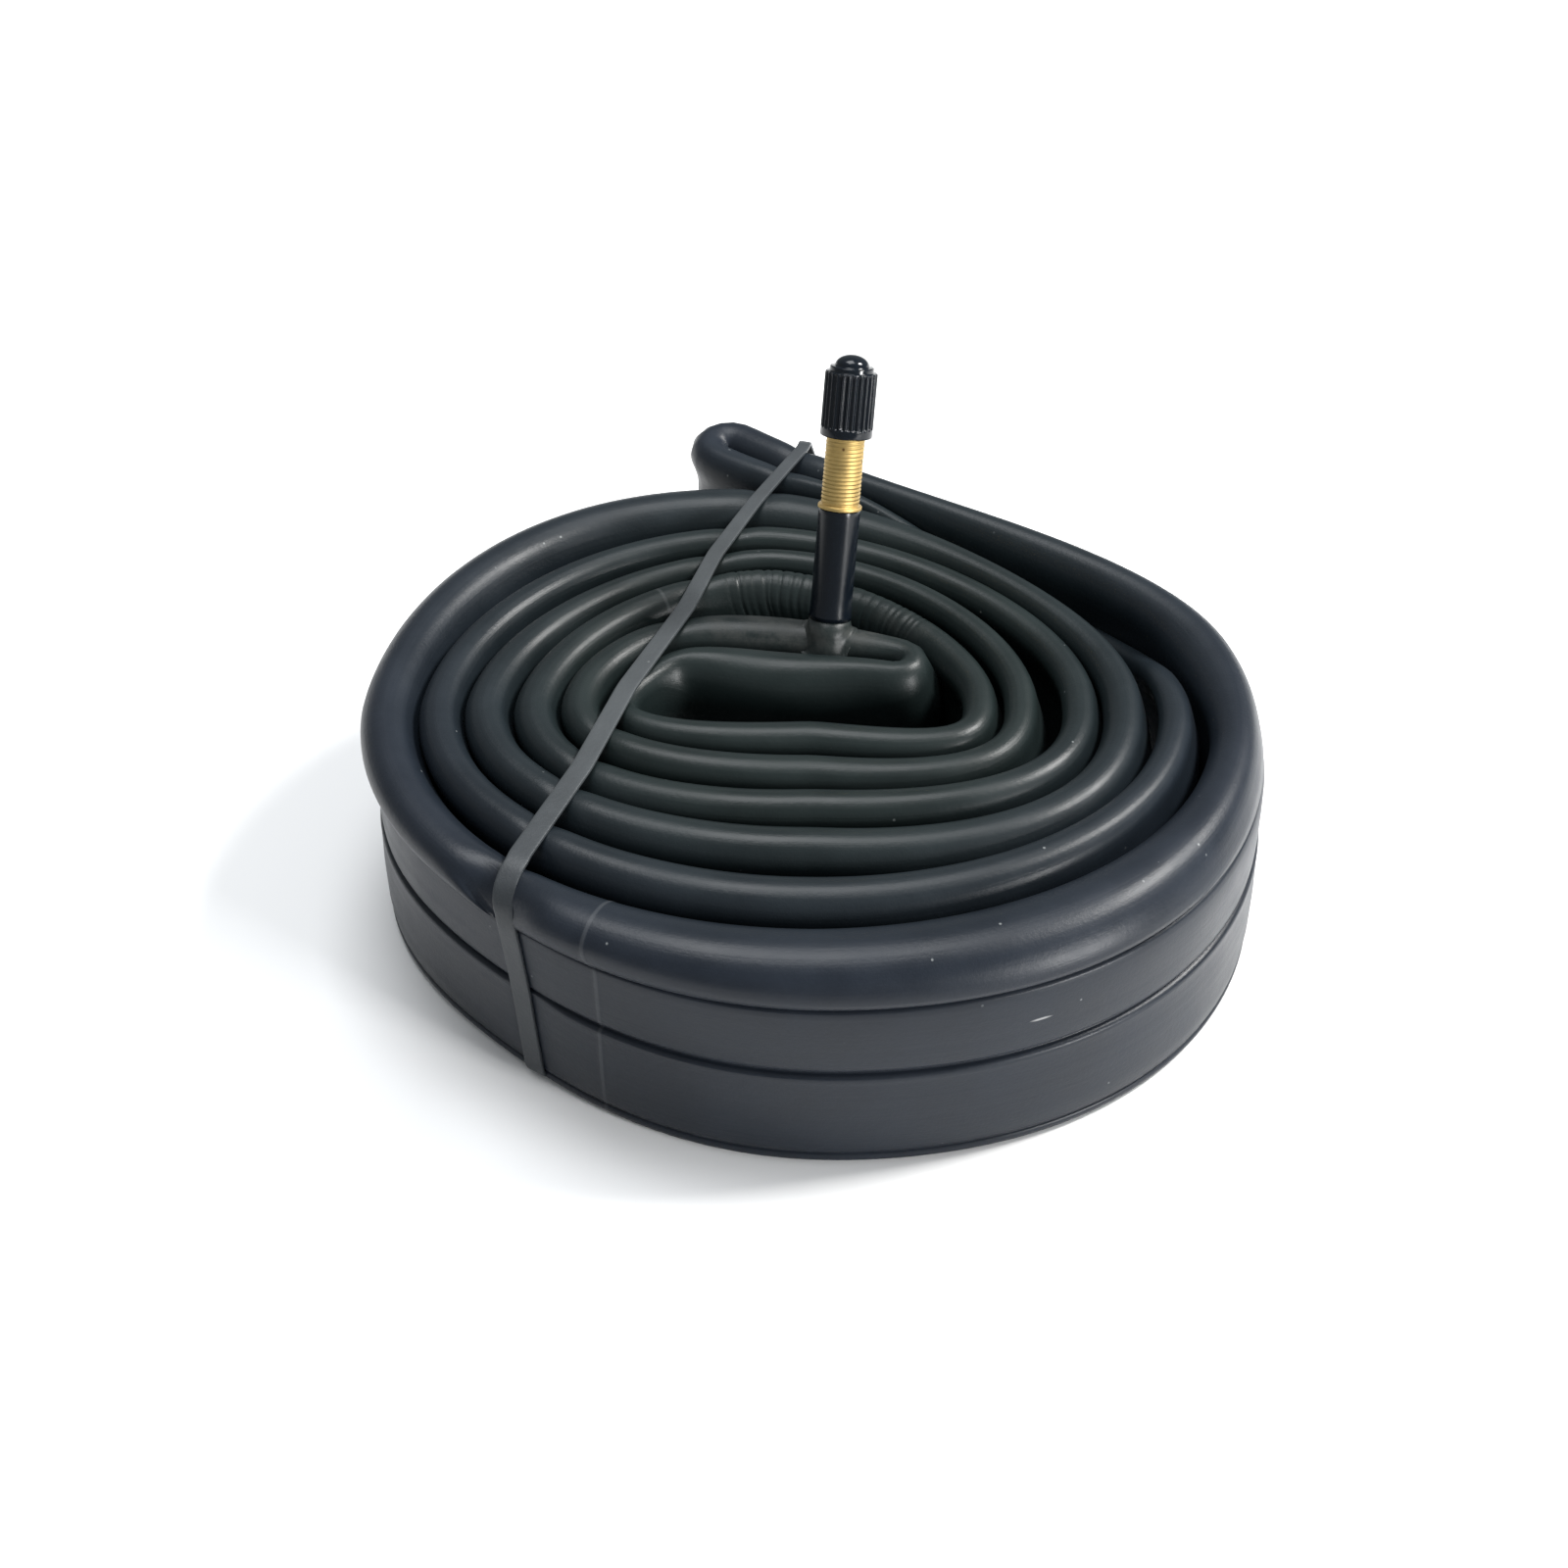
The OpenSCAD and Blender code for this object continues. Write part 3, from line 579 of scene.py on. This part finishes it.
def brass_profile():
    """Grip in the sleeve, a lip, the cap thread, and the stepped bore for the core."""
    return np.vstack([
        [[1.6, 2.0], [3.08, 2.0], [3.08, 24.45]], rounded(4.2, 24.6, 0.15, -90, 0, 4),
        rounded(4.2, 25.05, 0.15, 0, 90, 4), [[3.72, 25.2], [3.62, 25.35]],
        dense([[3.73, 25.5], [3.73, 48.5]], 0.1), [[3.45, MOUTH], [2.85, MOUTH], [2.65, 48.8]],
        dense([[2.65, 48.6], [2.65, 42.2]], 0.12), [[2.65, 42.0], [2.3, 41.6], [2.3, 38.8]],
        [[2.0, 38.4], [1.9, 38.0], [1.9, 29.5], [1.6, 29.2]]])


def thread_wave(h, a, pitch):
    """A right-handed thread: 1 at its crests, where height / pitch = turns, and 0 between."""
    return 0.5 + 0.5 * np.cos(2 * np.pi * (h / pitch - a / (2 * np.pi)))


def brass_threads(r, h, a):
    """Outer thread: crests 0.12 mm over the root. Inner thread: a groove 0.2 mm deep at the
    core's pitch of 0.706 mm."""
    outer = smooth((h - 25.5) / 0.9) * smooth((48.7 - h) / 0.5) * (r > 3.55) * (h > 25.4)
    inner = smooth((h - 42.3) / 0.4) * smooth((48.6 - h) / 0.4) * (r < 2.7) * (r > 2.5)
    return (r + 0.12 * thread_wave(h, a, CAP_PITCH) * outer
            + 0.2 * thread_wave(h, a, CORE_PITCH) * inner)


CAP_FROM, CAP_RIBS, CAP_R, VALLEY_R = 39.0, 26, 5.18, 4.76


def cap_profile():
    """Round the open end, up the bore to its end, and outside up the ribs to the dome."""
    dome = np.linspace(0, 90, 12)
    return np.vstack([
        [[0, 14.9], [1.7, 14.9], [1.7, 13.2], [2.95, 13.1], [2.95, 10.6], [3.93, 10.5]],
        dense([[3.93, 10.0], [3.93, 1.0]], 0.13), [[4.05, 0.3]],
        rounded(4.3, 0.2, 0.2, 180, 270, 4),
        rounded(CAP_R - 0.25, 0.25, 0.25, -90, 0, 5), [[CAP_R, 1.55]],
        dense([[CAP_R, 1.62], [CAP_R, 2.3]], 0.12), dense([[CAP_R, 2.5], [CAP_R, 12.2]], 0.8),
        rounded(CAP_R - 0.5, 12.3, 0.5, 0, 90, 7), rounded(4.45, 12.95, 0.13, 270, 180, 4),
        rounded(4.1, 13.55, 0.25, 0, 90, 5), [[3.55, 13.8]],
        np.column_stack([3.4 * np.cos(np.radians(dome)), 13.85 + 2.15 * np.sin(np.radians(dome))])
    ]) + [0, CAP_FROM]


def cap_ribs(r, h, a):
    """Ribs: radius - depth x valley(a), with valley(a) = (0.5 - 0.5 cos(26 a)) ^ 0.8, above the
    plain skirt only. Inside, a thread groove 0.16 mm deep."""
    up = h - CAP_FROM
    valley = (0.5 - 0.5 * np.cos(CAP_RIBS * a)) ** 0.8
    ribbed = smooth((up - 1.6) / 0.45) * smooth((12.9 - up) / 0.7) * (r > 4.6)
    inner = smooth((up - 0.8) / 0.4) * smooth((10.0 - up) / 0.4) * (r > 3.9) * (r < 4.0)
    return (r - (CAP_R - VALLEY_R) * valley * ribbed
            + 0.16 * thread_wave(h, a, CAP_PITCH) * inner)


# The core's spring: heights of its ends on the stem, its coils, and its radii
SPRING_ENDS, SPRING_COILS, SPRING_R, WIRE_R = (MOUTH - 14.37, MOUTH - 10.03), 7, 0.95, 0.11


def spring_skin():
    """A round wire along a helix: (R + r cos b) out and r sin b up from it. Each end row meets in
    a pole."""
    a = column(np.linspace(0, 2 * np.pi * SPRING_COILS, SPRING_COILS * 24 + 1))
    b = round_angles(8)
    r = SPRING_R + WIRE_R * np.cos(b) + 0 * a
    h = mix(*SPRING_ENDS, a / a[-1]) + WIRE_R * np.sin(b)
    skin = about_stem(r, a, h)
    ends = [np.repeat(skin[k].mean(0)[None, None], 8, 1) for k in (0, -1)]
    return np.concatenate([ends[0], skin, ends[1]])[::-1]


# --- materials ---
BLACK, SEAL_RED, BRASS = (0.003, 0.005, 0.008), (0.12, 0.02, 0.02), (0.54, 0.385, 0.15)
DUST, BUFFED, SEAM, SCUFF = (0.34, 0.36, 0.36), (0.15, 0.145, 0.135), (0.3, 0.31, 0.32), (0.42,) * 3
PIT, PIT_HALF = (0.16, 0.09, 0.04), (0.34, 0.34, 0.42)


def material(name):
    """A new node material: itself, its tree and its Principled shader."""
    mat = bpy.data.materials.new(name)
    mat.use_nodes = True
    return mat, mat.node_tree, mat.node_tree.nodes["Principled BSDF"]


def add(tree, kind, values=None, links=None, **fields):
    """A node with its fields, its sockets' values, and its inputs' links, in one call."""
    node = tree.nodes.new(kind)
    for k, v in fields.items():
        setattr(node, k, v)
    for k, v in (values or {}).items():
        node.inputs[k].default_value = v
    for k, v in (links or {}).items():
        tree.links.new(v, node.inputs[k])
    return node


def ramp(tree, value, low, high, to_low=0.0, to_high=1.0):
    return add(tree, "ShaderNodeMapRange", {"From Min": low, "From Max": high, "To Min": to_low,
                                            "To Max": to_high}, {"Value": value}).outputs["Result"]


def blend_colors(tree, mask, a, b):
    """Colour a where the mask is 0 and b where it is 1; each is a colour or a socket."""
    node = add(tree, "ShaderNodeMix", links={0: mask}, data_type="RGBA")
    for k, c in ((6, a), (7, b)):
        if isinstance(c, tuple):
            node.inputs[k].default_value = (*c, 1)
        else:
            tree.links.new(c, node.inputs[k])
    return node.outputs[2]


def math(tree, operation, a, b, c=None):
    """A math node whose inputs are numbers or sockets."""
    node = add(tree, "ShaderNodeMath", operation=operation)
    for k, v in enumerate((a, b, c)):
        if v is None:
            continue
        if isinstance(v, (int, float)):
            node.inputs[k].default_value = v
        else:
            tree.links.new(v, node.inputs[k])
    return node.outputs[0]


def rubber_look_and_painted_reflection():
    """Shared rubber look: a colour that turns from the roll's middle to its rim, which on the tube
    is a painted reflection, clouded tone and gloss, dust specks, and a fine grain for the bump."""
    g = bpy.data.node_groups.new("rubber_look_and_painted_reflection", "ShaderNodeTree")
    for name, kind in (("Middle Colour And Painted Reflection", "NodeSocketColor"), ("Rim Colour And Painted Reflection", "NodeSocketColor"),
                       ("Base Gloss", "NodeSocketFloat"), ("Dust", "NodeSocketFloat")):
        g.interface.new_socket(name=name, in_out="INPUT", socket_type=kind)
    for name, kind in (("Color", "NodeSocketColor"), ("Roughness", "NodeSocketFloat"),
                       ("Grain", "NodeSocketFloat")):
        g.interface.new_socket(name=name, in_out="OUTPUT", socket_type=kind)
    given, result = g.nodes.new("NodeGroupInput"), g.nodes.new("NodeGroupOutput")
    co = add(g, "ShaderNodeTexCoord").outputs["Object"]
    cloud = add(g, "ShaderNodeTexNoise", {"Scale": 45.0, "Detail": 6.0, "Roughness": 0.62},
                {"Vector": co}).outputs["Fac"]
    fine = add(g, "ShaderNodeTexNoise", {"Scale": 1100.0, "Detail": 4.0, "Roughness": 0.7},
               {"Vector": co}).outputs["Fac"]
    sep = add(g, "ShaderNodeSeparateXYZ", links={"Vector": co})
    flat = add(g, "ShaderNodeCombineXYZ", links={"X": sep.outputs["X"], "Y": sep.outputs["Y"]})
    far = add(g, "ShaderNodeVectorMath", links={0: flat.outputs[0]}, operation="LENGTH")
    # Painted reflection: the colour turns from the middle's to the rim's, 45 to 85 mm out from the
    # roll's axis
    where = ramp(g, far.outputs["Value"], 0.045, 0.085)
    painted_reflection_colour = blend_colors(g, where, given.outputs["Middle Colour And Painted Reflection"], given.outputs["Rim Colour And Painted Reflection"])
    shade = ramp(g, cloud, 0.3, 0.7, 0.82, 1.2)
    tone = add(g, "ShaderNodeVectorMath", links={0: painted_reflection_colour, 1: shade}, operation="MULTIPLY")
    specks = add(g, "ShaderNodeTexVoronoi", {"Scale": 260.0}, {"Vector": co})
    chosen = add(g, "ShaderNodeTexNoise", {"Scale": 150.0, "Detail": 1.0},
                 {"Vector": co}).outputs["Fac"]
    near = math(g, "MULTIPLY", ramp(g, specks.outputs["Distance"], 0.085, 0.05),
                ramp(g, chosen, 0.6, 0.66))
    dust = math(g, "MULTIPLY", near, given.outputs["Dust"])
    g.links.new(blend_colors(g, dust, tone.outputs["Vector"], DUST), result.inputs["Color"])
    g.links.new(math(g, "ADD", given.outputs["Base Gloss"], ramp(g, cloud, 0.3, 0.7, -0.05, 0.08)),
                result.inputs["Roughness"])
    g.links.new(fine, result.inputs["Grain"])
    return g


RUBBER = rubber_look_and_painted_reflection()


def rubber(name, inner, outer, rough, grain, dust):
    """A rubber or plastic of the shared look, with its colour in the roll's middle and at its rim;
    on the tube the change between them is a painted reflection. Returns the material, its tree,
    its shader, its look and its bump."""
    mat, t, shader = material(name)
    look = add(t, "ShaderNodeGroup", node_tree=RUBBER)
    look.inputs["Middle Colour And Painted Reflection"].default_value = (*inner, 1)
    look.inputs["Rim Colour And Painted Reflection"].default_value = (*outer, 1)
    look.inputs["Base Gloss"].default_value = rough
    look.inputs["Dust"].default_value = dust
    t.links.new(look.outputs["Color"], shader.inputs["Base Color"])
    t.links.new(look.outputs["Roughness"], shader.inputs["Roughness"])
    shader.inputs["Specular IOR Level"].default_value = 0.3
    b = add(t, "ShaderNodeBump", {"Strength": grain, "Distance": 0.0003},
            {"Height": look.outputs["Grain"]})
    t.links.new(b.outputs["Normal"], shader.inputs["Normal"])
    return mat, t, shader, look, b


def spot(tree, co, centre, half):
    """1 inside an ellipsoid about centre, falling to 0 at its edge; sizes in millimetres."""
    off = add(tree, "ShaderNodeVectorMath", {1: tuple(c * MM for c in centre)}, {0: co},
              operation="SUBTRACT")
    size = add(tree, "ShaderNodeVectorMath", {1: tuple(1 / (h * MM) for h in half)},
               {0: off.outputs[0]}, operation="MULTIPLY")
    far = add(tree, "ShaderNodeVectorMath", links={0: size.outputs[0]}, operation="LENGTH")
    return ramp(tree, far.outputs["Value"], 1.0, 0.55)


def butyl_material():
    """Butyl with lengthwise moulding streaks, the splice, a mould line, a buffed patch round the
    valve and a white scuff on the outer wall."""
    # Painted reflection: greenish over the roll's middle, bluer and a little lighter at its rim
    mat, t, shader, look, b = rubber("butyl", (0.0080, 0.0125, 0.0125), (0.0092, 0.0125, 0.0185),
                                     0.36, 0.16, 0.4)
    shader.inputs["Specular IOR Level"].default_value = 0.24
    co = add(t, "ShaderNodeTexCoord").outputs["Object"]
    uv = add(t, "ShaderNodeUVMap", uv_map="along_round").outputs["UV"]
    u = add(t, "ShaderNodeSeparateXYZ", links={"Vector": uv}).outputs["X"]
    stretch = add(t, "ShaderNodeMapping", {"Scale": (7.0, 800.0, 1.0)},
                  {"Vector": uv}).outputs["Vector"]
    lines = add(t, "ShaderNodeTexNoise", {"Scale": 1.0, "Detail": 4.0, "Roughness": 0.6},
                {"Vector": stretch}).outputs["Fac"]
    t.links.new(math(t, "MULTIPLY_ADD", lines, 1.3, look.outputs["Grain"]), b.inputs["Height"])
    seam = [ramp(t, math(t, "ABSOLUTE", math(t, "SUBTRACT", u, s * MM), 0.0), 0.0005, 0.0002)
            for s in (S_SPLICE, S_LINE)]
    seams = math(t, "MULTIPLY", math(t, "MAXIMUM", *seam), 0.07)
    buffed = spot(t, co, (STEM_FOOT[0] - 4, STEM_FOOT[1] + 1, TUBE_H - 0.5), (26, 9, 4.5))
    patchy = add(t, "ShaderNodeTexNoise", {"Scale": 300.0, "Detail": 5.0, "Roughness": 0.65},
                 {"Vector": co}).outputs["Fac"]
    dull = math(t, "MULTIPLY", buffed, ramp(t, patchy, 0.35, 0.6))
    scuff = spot(t, co, (40.9, -83.0, 31.0), (2.6, 2.2, 0.35))
    tone = blend_colors(t, math(t, "MULTIPLY", dull, 0.16), look.outputs["Color"], BUFFED)
    tone = blend_colors(t, seams, tone, SEAM)
    tone = blend_colors(t, math(t, "MULTIPLY", scuff, 0.55), tone, SCUFF)
    t.links.new(tone, shader.inputs["Base Color"])
    rough = math(t, "MULTIPLY_ADD", lines, 0.12,
                 math(t, "MULTIPLY_ADD", dull, 0.12, look.outputs["Roughness"]))
    t.links.new(math(t, "SUBTRACT", rough, 0.06), shader.inputs["Roughness"])
    return mat


def metal(name, color, rough, spots=()):
    """Turned metal: fine tool marks, cloudy tarnish, and small dark pits."""
    mat, t, shader = material(name)
    co = add(t, "ShaderNodeTexCoord").outputs["Object"]
    cloud = add(t, "ShaderNodeTexNoise", {"Scale": 260.0, "Detail": 6.0, "Roughness": 0.65},
                {"Vector": co}).outputs["Fac"]
    tone = blend_colors(t, ramp(t, cloud, 0.3, 0.7), tuple(0.8 * c for c in color), color)
    for centre in spots:
        tone = blend_colors(t, spot(t, co, centre, PIT_HALF), tone, PIT)
    t.links.new(tone, shader.inputs["Base Color"])
    shader.inputs["Metallic"].default_value = 1.0
    t.links.new(ramp(t, cloud, 0.25, 0.75, rough - 0.07, rough + 0.1), shader.inputs["Roughness"])
    marks = add(t, "ShaderNodeTexNoise", {"Scale": 2600.0, "Detail": 2.0},
                {"Vector": co}).outputs["Fac"]
    b = add(t, "ShaderNodeBump", {"Strength": 0.15, "Distance": 0.0001}, {"Height": marks})
    t.links.new(b.outputs["Normal"], shader.inputs["Normal"])
    return mat


butyl = butyl_material()
stem_rubber = rubber("stem_rubber", BLACK, BLACK, 0.2, 0.05, 0.15)[0]
band_rubber = rubber("band_rubber", (0.044, 0.049, 0.052), (0.032, 0.036, 0.04), 0.4, 0.25, 0.2)[0]
seal_rubber = rubber("seal_rubber", SEAL_RED, SEAL_RED, 0.5, 0.2, 0.0)[0]
cap_plastic = rubber("cap_plastic", BLACK, BLACK, 0.12, 0.03, 0.05)[0]
# Two small pits in the bare brass, by angle round the stem and height up it
PITS = [on_stem(np.array([CAP_THREAD_R * np.cos(a), CAP_THREAD_R * np.sin(a), h]))
        for a, h in ((np.radians(-98), 36.9), (np.radians(-24), 34.4))]
brass = metal("brass", BRASS, 0.5, [tuple(p) for p in PITS])
spring_steel = metal("spring_steel", (0.6, 0.6, 0.62), 0.3)

NODE_FINISH = {"core_plug": brass, "core_barrel": brass, "core_barrel_seal": seal_rubber,
               "core_pin": brass, "core_cup": brass, "core_cup_seal": seal_rubber}
for node, finish in NODE_FINISH.items():
    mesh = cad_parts[node].data
    mesh.materials.clear()
    mesh.materials.append(finish)


def fitted(piece, finish, body, node):
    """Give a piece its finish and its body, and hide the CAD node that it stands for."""
    piece.data.materials.append(finish)
    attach(piece, body)
    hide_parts(node)


# --- pieces ---
skin, along_s, girth = tube_skin()
fitted(mesh_object("tube_skin", skin, True, True,
                   (np.append(along_s, LINE_L), np.append(girth, girth[-1] + 1))),
       butyl, "roll", "tube")
fitted(mesh_object("rubber_band_strip", band_skin(band_ring()), True, True),
       band_rubber, "roll", "rubber_band")
fitted(mesh_object("valve_pad", pad_skin(), True, True), butyl, "roll", "valve_patch")
fitted(mesh_object("stem_sleeve_skin", turned(sleeve_profile(), 96), True, True),
       stem_rubber, "roll", "stem_sleeve")
fitted(mesh_object("stem_insert_threaded", turned(brass_profile(), 96, brass_threads), True, True),
       brass, "roll", "stem_insert")
fitted(mesh_object("dust_cap_ribbed", turned(cap_profile(), CAP_RIBS * 12, cap_ribs), False, True),
       cap_plastic, "cap", "dust_cap")

spring = mesh_object("core_spring_wire", spring_skin(), False, True)
fitted(spring, spring_steel, "core", "core_spring")
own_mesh(spring)

# --- floor, light, camera ---
floor = mesh_object("floor", np.array([[[-4000, -4000, 0], [-4000, 4000, 0]],
                                       [[4000, -4000, 0], [4000, 4000, 0]]], float), False, False)
pale, tree, shader = material("pale_floor")
shader.inputs["Base Color"].default_value = (0.88, 0.88, 0.88, 1)
shader.inputs["Roughness"].default_value = 0.7
floor.data.materials.append(pale)

scene = bpy.context.scene
scene.view_settings.view_transform = "Standard"
world = bpy.data.worlds.new("studio")
scene.world = world
world.use_nodes = True
world.node_tree.nodes["Background"].inputs["Color"].default_value = (0.93, 0.97, 1.0, 1)
world.node_tree.nodes["Background"].inputs["Strength"].default_value = 0.36


def softbox(name, place, size, watts, color):
    """A rectangular lamp that faces the roll."""
    light = bpy.data.lights.new(name, "AREA")
    light.shape, light.size, light.size_y = "RECTANGLE", size[0], size[1]
    light.energy, light.color = watts, color
    obj = bpy.data.objects.new(name, light)
    scene.collection.objects.link(obj)
    obj.location = place
    obj.rotation_euler = (Vector((0, 0, 0.03)) - Vector(place)).to_track_quat("-Z", "Y").to_euler()


softbox("window", (0.80, 0.22, 0.95), (0.3, 0.3), 22, (1.0, 0.99, 0.97))
softbox("low_window", (0.95, -0.75, 0.30), (0.22, 0.3), 14, (1.0, 1.0, 1.0))
softbox("ceiling", (-0.1, 0.25, 1.3), (0.7, 0.7), 14, (0.96, 0.98, 1.0))

# The camera looks 40 degrees down at a point on the plane of the crowns
AIM = np.array([-5.704, -37.028, TUBE_H])
DISTANCE, PITCH = 563.0, 40.0
camera = bpy.data.objects.new("camera", bpy.data.cameras.new("camera"))
camera.data.lens = 68.85
camera.data.clip_start = 0.01
camera.location = (AIM - DISTANCE * np.array([0, *(unit(PITCH) * [1, -1])])) * MM
camera.rotation_euler = (np.radians(90 - PITCH), 0, 0)
scene.collection.objects.link(camera)
scene.camera = camera
